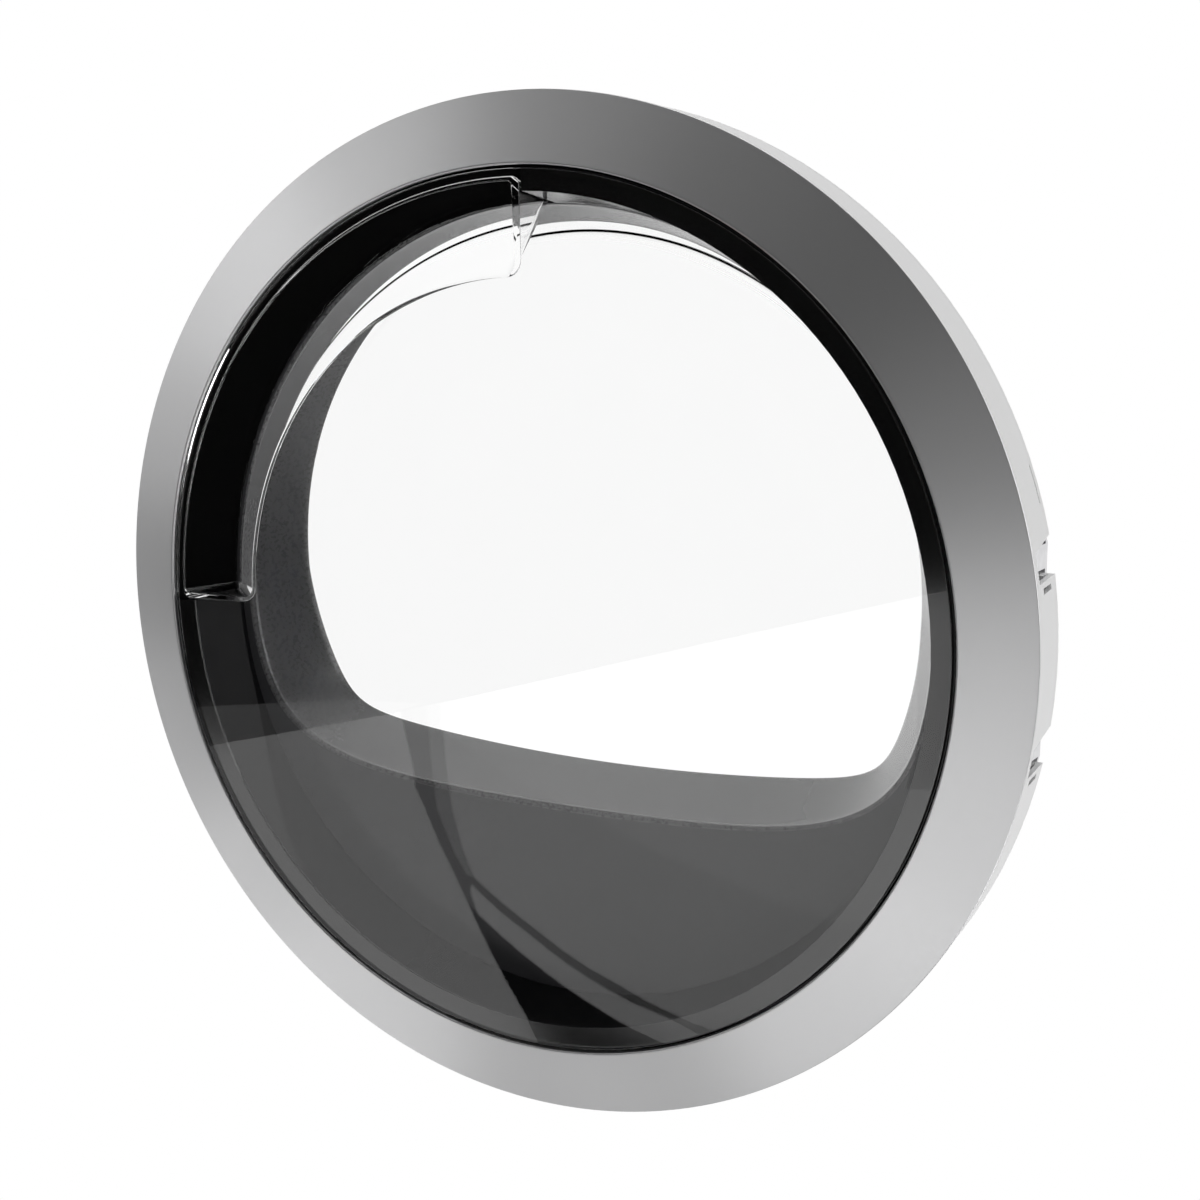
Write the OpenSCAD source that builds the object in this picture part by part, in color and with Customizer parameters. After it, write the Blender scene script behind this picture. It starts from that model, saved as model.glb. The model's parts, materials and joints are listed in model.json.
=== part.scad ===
// Round clear-window door of a tumble dryer, with its hinge, in millimetres.
// The row's origin is on the back face of the hinge plate, midway between its four fixing holes.
// Inside the modules the door is drawn about its own axis: X right, Z up, Y back from the front
// plane, and on_door() then carries it to the row's frame. A section is a list of [radius, depth].

/* [Trim ring] */
// Outer diameter of the door
ring_d = 480; // [440:1:520]
// Width of the silver ring, across its face
ring_w = 33; // [28:0.5:38]
// Depth of the ring's outer edge behind its inner edge
ring_rise = 12; // [8:0.5:14]
// Thickness of the ring
ring_t = 1.5; // [1:0.1:2]
// Depth of the ring's inner lip
ring_lip = 5.5; // [4:0.1:6]

/* [Outer shell] */
// Depth of the door from its front plane to its flat back
door_depth = 47; // [45:0.5:52]
// Radius that the side wall loses towards the back
wall_draft = 3.2; // [1:0.1:4]
// Wall thickness of the outer shell
shell_t = 2.5; // [2:0.1:3]
// Number of bosses, and of the screws that close the door
boss_count = 8; // [6:1:10]

/* [Window pane] */
// Thickness of the clear pane
pane_t = 3; // [2.5:0.1:4]
// Gap between the pane's edge and the ring
pane_gap = 1.5; // [1:0.1:2]
// Width of the black border behind the pane's edge
border_w = 10.2; // [8:0.1:12]

/* [Grip pocket] */
// Angle at which the pocket starts, counted from the right over the top
pocket_from = 92.5; // [85:0.5:110]
// Angle at which the pocket ends
pocket_to = 181.5; // [165:0.5:190]
// Width of the pocket's mouth
pocket_w = 42.2; // [36:0.1:46]
// Distance from the pocket's floor to the end of the black skirt
pocket_room = 5.5; // [5:0.5:11]
// Wall thickness of the pocket
pocket_wall = 2.6; // [2:0.1:3]

/* [Black carrier] */
// Distance from the end of the black skirt to the door's flat back
skirt_room = 12; // [10:0.5:13]
// Radius that the skirt loses towards the back
skirt_draft = 6.3; // [4:0.1:8]
// Thickness of the skirt
skirt_t = 2; // [1.5:0.1:2.5]

/* [Inner frame] */
// Width of the ledge inside the skirt
ledge_w = 6.5; // [5:0.1:9]
// How far the window's edge lies behind the door's flat back at the height of the door's middle
window_out = 17; // [15:0.5:19]
// Angle by which the window's edge leans back towards its sill
window_tilt = 7.3; // [5:0.1:8]
// How much smaller the window's round edge is than the mouth, in radius
window_in = 15.5; // [13:0.5:20]
// Height of the round edge's middle above the door's middle
window_up = 10; // [6:0.5:10]
// Height of the front edge of the sill above the lowest point of the mouth
sill_h = 85.5; // [75:0.5:88]
// Height of the window's sill above the sill's front edge
sill_rise = 13; // [8:0.5:18]
// Wall thickness of the inner frame
frame_t = 2.5; // [2:0.1:3]

/* [Glass bowl] */
// Thickness of the glass
glass_t = 4; // [3:0.1:5]
// Depth of the bowl behind its flange
bowl_depth = 47; // [35:1:60]
// Radius of the bowl's flat end
bowl_end_r = 72; // [50:1:95]

/* [Hinge] */
// Distance from the hinge's axis to the ring's outer edge, inwards
pin_inset = 16; // [15:0.5:18]
// Distance from the hinge's axis to the door's flat back
pin_room = 19; // [18:0.5:20]
// Radius of the hinge pin
pin_r = 2.5; // [2:0.1:2.8]
// Height of the hinge plate
plate_h = 118; // [112:1:124]
// Distance from the plate's end to the middle of the next arm
arm_inset = 17; // [16:0.5:20]
// Height of an arm
arm_h = 11; // [8:0.5:12]
// Distance from the plate's end to the next row of fixing holes
hole_inset = 6; // [5:0.5:6.5]
// Distance between the two columns of fixing holes
hole_columns = 14; // [12:0.5:14.5]
// Radius of a fixing hole
hole_r = 2.25; // [2:0.05:2.5]

/* [Hidden] */
$fn = 180;
small_fn = 32;
full_turn = 360;
quarter_turn = 90;
half_turn = 180;

// Clearances: between parts that seat, between cones, and the overrun of every cut
seat = 0.2;
clear = 1;
over = 1;
press = 0.02;

// Trim ring
ring_r = ring_d / 2;
ring_in_r = ring_r - ring_w;
lip_t = 1.5;
bead_r = 0.7;
bead_steps = 4;
function ring_face(r) = ring_rise * (r - ring_in_r) / ring_w;
function ring_back(r) = ring_face(r) + ring_t;

// Outer shell: the side wall runs from just behind the ring to the back ring's joint
joint_gap = 0.2;
rim_t = 3;
rim_depth = door_depth - rim_t;
wall_r = ring_r - seat;
wall_front = ring_back(wall_r) + seat;
wall_back_r = wall_r - wall_draft;
land_in = 3;
land_w = 7.5;
land_in_r = ring_in_r + land_in;
land_out_r = land_in_r + land_w;
land_depth = ring_back(land_out_r) + seat + shell_t;
boss_r = 4.5;
boss_inset = 18;
boss_ring_r = ring_r - boss_inset;
boss_turn = 22.5;

// Pane and pocket
pane_front = 0.2;
pane_back = pane_front + pane_t;
pane_r = ring_in_r - pane_gap;
border_in_r = pane_r - border_w;
skirt_depth = door_depth - skirt_room;
pocket_depth = skirt_depth - pocket_room;
pocket_edge = 5.5;
pocket_lean = 9.5;
pocket_out_r = pane_r - pocket_edge;
pocket_in_r = pocket_out_r - pocket_w;
pocket_deep_r = pocket_out_r - pocket_lean;
pocket_floor = pane_front + pocket_depth;
slant = atan2(pocket_floor - pane_front, pocket_deep_r - pocket_in_r);
lean = atan2(pocket_floor - pane_front, pocket_lean);
slant_across = pocket_wall / sin(slant);
lean_across = pocket_wall / sin(lean);
pocket_tip = pocket_floor + pocket_wall;
end_wall_turn = atan2(pocket_wall, (pocket_in_r + pocket_out_r) / 2);

// Carrier: it seats the pane's edge, screws to the shell and shields the rim's inside
tape_t = 0.8;
tape_in = 0.3;
seat_depth = pane_back + tape_t;
groove_depth = ring_lip + seat * 2;
carrier_t = 2.5;
carrier_out = land_out_r - clear;
carrier_depth = land_depth + seat;
web_depth = seat_depth + carrier_t;
skirt_r = border_in_r - skirt_draft;
shelf_depth = skirt_depth - skirt_t;
zone_turn = end_wall_turn + atan2(clear, pocket_in_r);

// Inner frame: a round mouth and a round window, each cut below by a long shallow arc
mouth_r = skirt_r - ledge_w;
window_r = mouth_r - window_in;
mouth_drop = mouth_r - sill_h;
window_drop = mouth_drop - sill_rise;
mouth_arc_r = 4000;
mouth_sharpness = 6;
window_arc_r = 975;
window_sharpness = 19;
flange_w = 15;
flange_r = skirt_r + flange_w;
nose_r = 3;
edge_r = 0.8;
frame_steps = 96;
wall_steps = 4;
nose_steps = 3;
nose_from = 202.5;
frame_out = 13;
frame_back = door_depth + frame_out;
window_depth = door_depth + window_out;
cup_t = 2;
lip_out = 1;
cup_w = 5.5;
cup_r = skirt_r + cup_w;

// Glass, its rubber channel and the rear frame that clamps them
glass_gap = 2.5;
glass_rim_w = 16;
glass_r = cup_r - glass_gap;
glass_in_r = glass_r - glass_rim_w;
seal_lip_t = 1.3;
seal_r = cup_r + seat;
seal_grip = 6;
seal_in_r = glass_r - seal_grip;
glass_front = frame_back + seal_lip_t + seat;
seal_back = glass_front + glass_t + seat + seal_lip_t;
bowl_steps = 14;
collar_t = 2.5;
collar_r = seal_r + seat + collar_t;
collar_depth = seal_back + seat + collar_t;
collar_grip = 4;
collar_in_r = seal_in_r - collar_grip;
rib_out = 11;
rib_in_r = skirt_r + rib_out;
rib_t = 2.5;
spigot_t = 2.5;
spigot_h = 5;
spigot_r = wall_back_r - shell_t - clear / 2;

// Seal and buffers on the flat back
back_seal_in_r = collar_r + clear;
back_seal_w = 7;
cabinet_gap = 5;
cabinet_depth = door_depth + cabinet_gap;
seal_clear = 0.3;
lip_w = 2;
buffer_r = 4;
buffer_out = 3;
buffer_ring_r = boss_ring_r + buffer_out;
buffer_h = 3.4;
buffer_stem_r = 1.8;
buffer_turn = 45;
buffer_count = 4;

// Screws: shank radius, head radius, head height
screw_r = 1.5;
screw_head_r = 3.4;
screw_head_h = 2;
screw_l = 12;
carrier_screw_r = 1.25;
carrier_screw_head_r = 2.6;
carrier_screw_bite = 3;
carrier_screw_l = 5.4;
hole_gap = 0.15;
drive_r = 1.5;
drive_depth = 1.2;

// Hinge
pivot_x = ring_r - pin_inset;
pin_depth = door_depth - pin_room;
arm_z = plate_h / 2 - arm_inset;
hole_z = plate_h / 2 - hole_inset;
plate_t = 2.5;
plate_in = 21;
plate_out = 3.5;
plate_corner = 3;
plate_mid = 9.5;
plate_back = cabinet_depth + plate_t;
arm_t = plate_out * 2;
arm_end_r = 5;
foot_in = 8;
foot_h = 3;
bush_t = 1;
bush_flange_t = 1;
bush_flange_r = 4.5;
run = 0.05;
lug_t = 2.2;
lug_gap = 0.3;
lug_in_z = arm_h / 2 + bush_flange_t + lug_gap;
lug_top = arm_z + lug_in_z + lug_t;
web_t = 2.5;
web_in = 10;
bracket_in = 21;
bracket_t = 2.5;
bracket_over = 11;
bracket_h = (lug_top + bracket_over) * 2;
hinge_screw_in = 14.5;
end_screw_in = 7;
mid_screw_in = 20;
hinge_screw_rows = [
    end_screw_in - bracket_h / 2, mid_screw_in - arm_z, arm_z - mid_screw_in, bracket_h / 2 - end_screw_in
];
hinge_screw_r = 2;
pin_head_r = 4;
pin_head_h = 1.5;
pin_tail = 2.5;
clip_t = 0.8;
clip_groove = 0.5;
clip_gap = 0.5;
clip_r = 4.5;
clip_mouth = 3.2;

// Notches in the side wall for the arms, a drain slot below each and a slot to part the shells
notch_room = 10;
notch_front = pin_depth - notch_room;
notch_play = 1;
notch_h = arm_h + notch_play * 2;
notch_flare = 4;
notch_in = 6.3;
drain_lead = 4;
drain_front = pin_depth - drain_lead;
drain_l = 14;
drain_h = 2.5;
drain_drop = 2.5;
pry_z = 74;
pry_l = 16;
pry_h = 2;

// Latch
latch_inset = 17;
latch_x = latch_inset - ring_r;
latch_base_w = 17;
latch_base_h = 28;
latch_base_t = 2.5;
latch_neck_w = 8;
latch_neck_h = 10;
latch_reach = 21;
latch_nose = 6;
latch_nose_back = 8;
latch_screw_z = 9.5;
latch_plate_w = 14;
latch_plate_h = 30;
latch_plate_t = 2.5;

module on_door() translate([plate_mid - pivot_x, -plate_back, 0]) children();

// Turns a section about the door's axis; its second coordinate is depth
module revolve() rotate([-quarter_turn, 0, 0]) rotate_extrude() children();

// The same, only between two angles counted from the right over the top
module sweep(from, to)
    rotate([-quarter_turn, 0, 0]) rotate([0, 0, -to]) rotate_extrude(angle = to - from) children();

// A round bar along the depth
module depth_bar(x, depth, z, r, h)
    translate([x, depth, z]) rotate([-quarter_turn, 0, 0]) cylinder(r = r, h = h, $fn = small_fn);

module block(low, high) translate(low) cube(high - low);

// Copies at even angles on a circle
module around(count, first, radius)
    for (i = [0:count - 1])
        let (a = first + full_turn * i / count)
            translate([radius * cos(a), 0, radius * sin(a)]) children();

function arc(centre, radius, from, to, steps) = [
    for (i = [0:steps])
        let (a = from + (to - from) * i / steps)
            [centre.x + radius * cos(a), centre.y + radius * sin(a)]
];

// A screw that points forward from the face at this depth, with a hollow in its head
module screw(depth, shank_r, head_r, length) {
    difference() {
        depth_bar(0, depth, 0, head_r, screw_head_h);
        depth_bar(0, depth + screw_head_h - drive_depth, 0, drive_r, drive_depth + over);
    }
    depth_bar(0, depth - length, 0, shank_r, length + (screw_head_h - drive_depth) / 2);
}

module trim_ring() color("silver") on_door() revolve() polygon(concat(
    arc([ring_in_r + bead_r, bead_r], bead_r, half_turn, full_turn - quarter_turn, bead_steps),
    [
        [ring_r, ring_face(ring_r)],
        [ring_r, ring_back(ring_r)],
        [ring_in_r + lip_t, ring_back(ring_in_r + lip_t)],
        [ring_in_r + lip_t, ring_lip],
        [ring_in_r, ring_lip]
    ]
));

// Cuts for both arms, each with its slanted upper edge, open at the back
module notches() for (z = [-arm_z, arm_z]) {
    translate([pivot_x - notch_in, 0, z])
        rotate([quarter_turn, 0, quarter_turn])
            linear_extrude(ring_r - pivot_x + notch_in + over) polygon([
                [notch_front, -notch_h / 2],
                [notch_front, notch_h / 2],
                [door_depth + over, notch_h / 2 + notch_flare],
                [door_depth + over, -notch_h / 2]
            ]);
}

module outer_shell() color("white") on_door() difference() {
    union() {
        revolve() polygon([
            [land_in_r, ring_back(land_in_r) + seat],
            [wall_r, wall_front],
            [wall_back_r, rim_depth - joint_gap],
            [wall_back_r - shell_t, rim_depth - joint_gap],
            [wall_r - shell_t, wall_front + shell_t],
            [land_out_r, land_depth],
            [land_in_r, land_depth]
        ]);
        around(boss_count, boss_turn, boss_ring_r)
            let (start = ring_back(boss_ring_r + boss_r) + seat * 2)
                depth_bar(0, start, 0, boss_r, rim_depth - start);
    }
    around(boss_count, boss_turn, boss_ring_r)
        depth_bar(0, rim_depth - screw_l, 0, screw_r + hole_gap, screw_l + over);
    around(boss_count, 0, land_out_r - land_w / 2)
        depth_bar(0, land_depth - carrier_screw_bite, 0, carrier_screw_r + hole_gap, carrier_screw_bite + over);
    notches();
    for (z = [-arm_z, arm_z])
        block([pivot_x, drain_front, z - notch_h / 2 - drain_drop - drain_h],
              [ring_r + over, drain_front + drain_l, z - notch_h / 2 - drain_drop]);
    block([0, rim_depth - pry_h, pry_z - pry_l / 2], [ring_r + over, rim_depth, pry_z + pry_l / 2]);
}

// Section of the carrier's outer part, which is the same all round
carrier_rim = [
    [pane_r + tape_in, seat_depth],
    [pane_r + tape_in, groove_depth],
    [land_in_r - seat * 2, groove_depth],
    [land_in_r - seat * 2, carrier_depth],
    [carrier_out, carrier_depth],
    [carrier_out, carrier_depth + carrier_t]
];

// Radius of the skirt's inside where it stands back from the pocket, and the hollow that it leaves
function pocket_side(depth) = pocket_out_r + lean_across + clear
    - (depth - pane_front) * pocket_lean / (pocket_floor - pane_front);
function zone_cut(top) = [
    [border_in_r - over, top],
    [pocket_side(top), top],
    [pocket_side(shelf_depth) + clear / 2, shelf_depth],
    [skirt_r - over, shelf_depth]
];

module pane_carrier() color([0.04, 0.04, 0.045]) on_door() difference() {
    revolve() polygon(concat(
        [[border_in_r, seat_depth]],
        carrier_rim,
        [
            [pane_r, carrier_depth + carrier_t],
            [pocket_side(skirt_depth) + skirt_t, skirt_depth],
            [skirt_r, skirt_depth]
        ]
    ));
    sweep(pocket_from - zone_turn, pocket_to + zone_turn) polygon(zone_cut(seat_depth - over));
    sweep(pocket_to + zone_turn + end_wall_turn, full_turn + pocket_from - zone_turn - end_wall_turn) polygon([
        [ring_in_r, carrier_depth + carrier_t + over],
        [pane_r - skirt_t, web_depth],
        [border_in_r + skirt_t, web_depth],
        [skirt_r + skirt_t, skirt_depth + over],
        [ring_in_r, skirt_depth + over]
    ]);
    around(boss_count, 0, land_out_r - land_w / 2)
        depth_bar(0, carrier_depth - over, 0, carrier_screw_r + hole_gap, carrier_t + over * 2);
}

module pane_tape() color([0.02, 0.02, 0.02]) on_door()
    sweep(pocket_to + zone_turn, full_turn + pocket_from - zone_turn) polygon([
        [border_in_r, pane_back],
        [pane_r - tape_in, pane_back],
        [pane_r - tape_in, seat_depth],
        [border_in_r, seat_depth]
    ]);

// Outline of the pocket's outside below the pane, as a section
pocket_outside = [
    [pocket_in_r - slant_across, pane_front],
    [pocket_out_r + lean_across, pane_front],
    [pocket_deep_r + lean_across, pocket_floor],
    [pocket_deep_r + lean_across / 2, pocket_tip],
    [pocket_deep_r - slant_across / 2, pocket_tip - pocket_wall / 2]
];

module front_pane() color([0.9, 0.93, 0.95, 0.35]) on_door() difference() {
    union() {
        revolve() polygon([[0, pane_front], [pane_r, pane_front], [pane_r, pane_back], [0, pane_back]]);
        sweep(pocket_from - end_wall_turn, pocket_to + end_wall_turn) polygon(pocket_outside);
    }
    sweep(pocket_from, pocket_to) polygon([
        [pocket_in_r - over / tan(slant), pane_front - over],
        [pocket_out_r + over / tan(lean), pane_front - over],
        [pocket_deep_r, pocket_floor]
    ]);
}

// How far a circle reaches from the door's middle at an angle, when its centre is raised
function circle_reach(a, radius, up) = up * sin(a) + sqrt(pow(radius, 2) - pow(up * cos(a), 2));

// Reach of the space that two circles share, with its corners rounded
function shared_reach(a, radius, up, arc_radius, drop, sharpness) =
    let (round_part = circle_reach(a, radius, up),
         sill_part = circle_reach(a, arc_radius, arc_radius - drop))
        round_part / pow(1 + pow(round_part / sill_part, sharpness), 1 / sharpness);

function mouth(a) = shared_reach(a, mouth_r, 0, mouth_arc_r, mouth_drop, mouth_sharpness);
function window(a) = shared_reach(a, window_r, window_up, window_arc_r, window_drop, window_sharpness);

// Depth of the window's edge, whose plane leans back towards the sill
function edge_depth(a) = window_depth - window(a) * sin(a) * tan(window_tilt);

// The frame's section at an angle: front flange, back flange and the wall between them, which
// runs from the mouth to the window's edge and, where that edge is shallow, straight back from it
function frame_section(a) =
    let (m = mouth(a), w = window(a), front = skirt_depth, wall_start = front + nose_r,
         edge = edge_depth(a),
         end = max(edge, frame_back + lip_out),
         slope = (w - m) / (edge - wall_start),
         root = w + max(0, edge - frame_back + cup_t) * -slope + frame_t,
         back_root = w + max(0, edge - frame_back) * -slope + frame_t,
         inner_edge = min(edge, end - edge_r * 2))
        concat(
            [
                [flange_r, front],
                [flange_r, front + frame_t],
                [m + nose_r + frame_t, front + frame_t],
                [root, frame_back - cup_t],
                [cup_r, frame_back - cup_t],
                [cup_r, frame_back],
                [back_root, frame_back],
                [w + frame_t, end],
                [w + edge_r, end],
                [w, end - edge_r]
            ],
            [for (i = [0:wall_steps])
                let (t = i / wall_steps)
                    [w + (m - w) * t, inner_edge + (wall_start - inner_edge) * t]],
            arc([m + nose_r, wall_start], nose_r, nose_from, full_turn - quarter_turn, nose_steps)
        );

module inner_frame() color([0.2, 0.2, 0.21]) on_door() {
    sections = [for (i = [0:frame_steps - 1]) frame_section(full_turn * i / frame_steps)];
    size = len(sections[0]);
    polyhedron(
        points = [
            for (i = [0:frame_steps - 1])
                let (a = full_turn * i / frame_steps)
                    for (p = sections[i]) [p.x * cos(a), p.y, p.x * sin(a)]
        ],
        faces = [
            for (i = [0:frame_steps - 1], j = [0:size - 1])
                let (n = (i + 1) % frame_steps, k = (j + 1) % size)
                    each [
                        [i * size + j, n * size + j, n * size + k],
                        [i * size + j, n * size + k, i * size + k]
                    ]
        ]
    );
}

module glass_seal() color([0.1, 0.1, 0.1]) on_door() revolve() polygon([
    [seal_in_r, frame_back],
    [seal_r, frame_back],
    [seal_r, seal_back],
    [seal_in_r, seal_back],
    [seal_in_r, seal_back - seal_lip_t],
    [glass_r + seat, seal_back - seal_lip_t],
    [glass_r + seat, frame_back + seal_lip_t],
    [seal_in_r, frame_back + seal_lip_t]
]);

// The bowl's curve, a quarter of an ellipse from its flange to its flat end
function bowl_curve(inset, from, to) = [
    for (i = [0:bowl_steps])
        let (a = from + (to - from) * i / bowl_steps)
            [bowl_end_r + (glass_in_r - inset - bowl_end_r) * cos(a),
             glass_front + glass_t + (bowl_depth - glass_t - inset) * sin(a)]
];

module glass_bowl() color([0.9, 0.93, 0.95, 0.3]) on_door() revolve() polygon(concat(
    [[glass_in_r - glass_t, glass_front], [glass_r, glass_front], [glass_r, glass_front + glass_t]],
    bowl_curve(0, 0, quarter_turn),
    [[0, glass_front + bowl_depth], [0, glass_front + bowl_depth - glass_t]],
    bowl_curve(glass_t, quarter_turn, 0)
));

// A ring that snaps into the rear frame and clamps the glass and its rubber channel
module glass_clamp() color([0.9, 0.9, 0.9]) on_door() revolve() polygon([
    [collar_r - collar_t, rim_depth],
    [collar_r, rim_depth],
    [collar_r, collar_depth],
    [collar_in_r, collar_depth],
    [collar_in_r, collar_depth - collar_t],
    [collar_r - collar_t, collar_depth - collar_t]
]);

module rear_frame() color("white") on_door() difference() {
    revolve() polygon([
        [rib_in_r, skirt_depth + frame_t],
        [rib_in_r + rib_t, skirt_depth + frame_t],
        [rib_in_r + rib_t, rim_depth],
        [spigot_r - spigot_t, rim_depth],
        [spigot_r - spigot_t, rim_depth - spigot_h],
        [spigot_r, rim_depth - spigot_h],
        [spigot_r, rim_depth],
        [wall_back_r - seat, rim_depth],
        [wall_back_r - seat, door_depth],
        [collar_r + press, door_depth],
        [collar_r + press, rim_depth],
        [rib_in_r, rim_depth]
    ]);
    around(boss_count, boss_turn, boss_ring_r)
        depth_bar(0, rim_depth - over, 0, screw_r + hole_gap * 2, rim_t + over * 2);
    around(buffer_count, buffer_turn, buffer_ring_r)
        depth_bar(0, rim_depth - over, 0, buffer_stem_r + hole_gap, rim_t + over * 2);
    for (z = hinge_screw_rows)
        depth_bar(pivot_x - hinge_screw_in, rim_depth - over, z, hinge_screw_r + hole_gap, rim_t + over * 2);
    for (z = [-latch_screw_z, latch_screw_z])
        depth_bar(latch_x, rim_depth - over, z, screw_r + hole_gap, rim_t + over * 2);
    notches();
}

// A rubber ring with two lips that meet the cabinet around the drum's opening
module door_seal() color([0.35, 0.35, 0.36]) on_door() revolve()
    let (tall = cabinet_depth - seal_clear, low = door_depth + cabinet_gap / 2) polygon([
        [back_seal_in_r, door_depth],
        [back_seal_in_r + back_seal_w, door_depth],
        [back_seal_in_r + back_seal_w, tall],
        [back_seal_in_r + back_seal_w - lip_w, tall],
        [back_seal_in_r + back_seal_w - lip_w, low],
        [back_seal_in_r + lip_w, low],
        [back_seal_in_r + lip_w, tall],
        [back_seal_in_r, tall]
    ]);

module buffers() color([0.15, 0.15, 0.15]) on_door()
    around(buffer_count, buffer_turn, buffer_ring_r) {
        depth_bar(0, door_depth, 0, buffer_r, buffer_h);
        depth_bar(0, rim_depth - over / 2, 0, buffer_stem_r, rim_t + over / 2);
    }

module frame_screws() color("silver") on_door()
    around(boss_count, boss_turn, boss_ring_r)
        screw(door_depth, screw_r, screw_head_r, screw_l);

module carrier_screws() color("silver") on_door()
    around(boss_count, 0, land_out_r - land_w / 2)
        screw(carrier_depth + carrier_t, carrier_screw_r, carrier_screw_head_r, carrier_screw_l);

module latch_hook() color([0.85, 0.85, 0.86]) on_door() difference() {
    union() {
        block([latch_x - latch_base_w / 2, door_depth, -latch_base_h / 2],
              [latch_x + latch_base_w / 2, door_depth + latch_base_t, latch_base_h / 2]);
        translate([latch_x, door_depth, -latch_neck_h / 2])
            linear_extrude(latch_neck_h) polygon([
                [-latch_neck_w / 2, 0],
                [latch_neck_w / 2, 0],
                [latch_neck_w / 2, latch_reach],
                [0, latch_reach],
                [-latch_neck_w / 2 - latch_nose, latch_reach - latch_nose],
                [-latch_neck_w / 2 - latch_nose, latch_reach - latch_nose_back],
                [-latch_neck_w / 2, latch_reach - latch_nose_back]
            ]);
    }
    for (z = [-latch_screw_z, latch_screw_z])
        depth_bar(latch_x, door_depth - over, z, screw_r + hole_gap, latch_base_t + over * 2);
}

module latch_plate() color("silver") on_door() difference() {
    block([latch_x - latch_plate_w / 2, rim_depth - latch_plate_t, -latch_plate_h / 2],
          [latch_x + latch_plate_w / 2, rim_depth, latch_plate_h / 2]);
    for (z = [-latch_screw_z, latch_screw_z])
        depth_bar(latch_x, rim_depth - latch_plate_t - over, z, screw_r + hole_gap, latch_plate_t + over * 2);
}

module latch_screws() color("silver") on_door()
    for (z = [-latch_screw_z, latch_screw_z])
        translate([latch_x, 0, z])
            screw(door_depth + latch_base_t, screw_r, screw_head_r,
                  latch_base_t + rim_t + latch_plate_t + over);

// Steel bracket inside the door: a foot on the rear frame, a web and four lugs for the pin
module hinge_bracket() color([0.6, 0.6, 0.62]) on_door() difference() {
    union() {
        block([pivot_x - bracket_in, rim_depth - bracket_t, -bracket_h / 2],
              [pivot_x - web_in + web_t, rim_depth, bracket_h / 2]);
        block([pivot_x - web_in, pin_depth - arm_end_r, -bracket_h / 2],
              [pivot_x - web_in + web_t, rim_depth, bracket_h / 2]);
        for (z = [-arm_z - lug_in_z - lug_t, -arm_z + lug_in_z, arm_z - lug_in_z - lug_t, arm_z + lug_in_z]) {
            block([pivot_x - web_in, pin_depth - arm_end_r, z], [pivot_x, pin_depth + arm_end_r, z + lug_t]);
            translate([pivot_x, pin_depth, z]) cylinder(r = arm_end_r, h = lug_t, $fn = small_fn);
        }
    }
    translate([pivot_x, pin_depth, -bracket_h / 2]) cylinder(r = pin_r + press, h = bracket_h, $fn = small_fn);
    for (z = hinge_screw_rows)
        depth_bar(pivot_x - hinge_screw_in, rim_depth - bracket_t - over, z, hinge_screw_r + hole_gap,
                  bracket_t + over * 2);
}

module hinge_screws() color("silver") on_door()
    for (z = hinge_screw_rows)
        translate([pivot_x - hinge_screw_in, 0, z])
            screw(door_depth, hinge_screw_r, screw_head_r, rim_t + bracket_t + over);

module hinge_pin() color([0.75, 0.75, 0.77]) on_door() translate([pivot_x, pin_depth, 0]) difference() {
    union() {
        translate([0, 0, -lug_top - pin_tail]) cylinder(r = pin_r, h = lug_top * 2 + pin_tail, $fn = small_fn);
        translate([0, 0, lug_top]) cylinder(r = pin_head_r, h = pin_head_h, $fn = small_fn);
    }
    translate([0, 0, -lug_top - clip_gap - clip_t]) difference() {
        cylinder(r = pin_r + over, h = clip_t, $fn = small_fn);
        cylinder(r = pin_r - clip_groove, h = clip_t, $fn = small_fn);
    }
}

// An open spring clip in the pin's groove
module hinge_clip() color([0.3, 0.3, 0.32]) on_door()
    translate([pivot_x, pin_depth, -lug_top - clip_gap - clip_t + seat / 4]) difference() {
        cylinder(r = clip_r, h = clip_t - seat / 2, $fn = small_fn);
        translate([0, 0, -over]) cylinder(r = pin_r - clip_groove + press, h = clip_t + over * 2, $fn = small_fn);
        block([-clip_r - over, -clip_mouth / 2, -over], [0, clip_mouth / 2, clip_t + over]);
    }

// Cabinet side of the hinge: a plate with two arms that reach into the door
module hinge_plate() color([0.62, 0.62, 0.64]) on_door() difference() {
    union() {
        translate([pivot_x, plate_back, 0]) rotate([quarter_turn, 0, 0]) linear_extrude(plate_t) polygon([
            [-plate_in, -plate_h / 2],
            [plate_out - plate_corner, -plate_h / 2],
            [plate_out, -arm_z - arm_h / 2],
            [plate_out, arm_z + arm_h / 2],
            [plate_out - plate_corner, plate_h / 2],
            [-plate_in, plate_h / 2]
        ]);
        for (z = [-arm_z - arm_h / 2, arm_z - arm_h / 2]) {
            block([pivot_x - arm_t / 2, pin_depth, z], [pivot_x + arm_t / 2, plate_back - plate_t / 2, z + arm_h]);
            block([pivot_x - foot_in, cabinet_depth - foot_h, z],
                  [pivot_x + arm_t / 2, plate_back - plate_t / 2, z + arm_h]);
            translate([pivot_x, pin_depth, z]) cylinder(r = arm_end_r, h = arm_h, $fn = small_fn);
        }
    }
    translate([pivot_x, pin_depth, -plate_h / 2])
        cylinder(r = pin_r + run + bush_t + press, h = plate_h, $fn = small_fn);
    for (x = [-hole_columns / 2, hole_columns / 2], z = [-hole_z, hole_z])
        depth_bar(pivot_x - plate_mid + x, cabinet_depth - over, z, hole_r, plate_t + over * 2);
}

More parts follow.
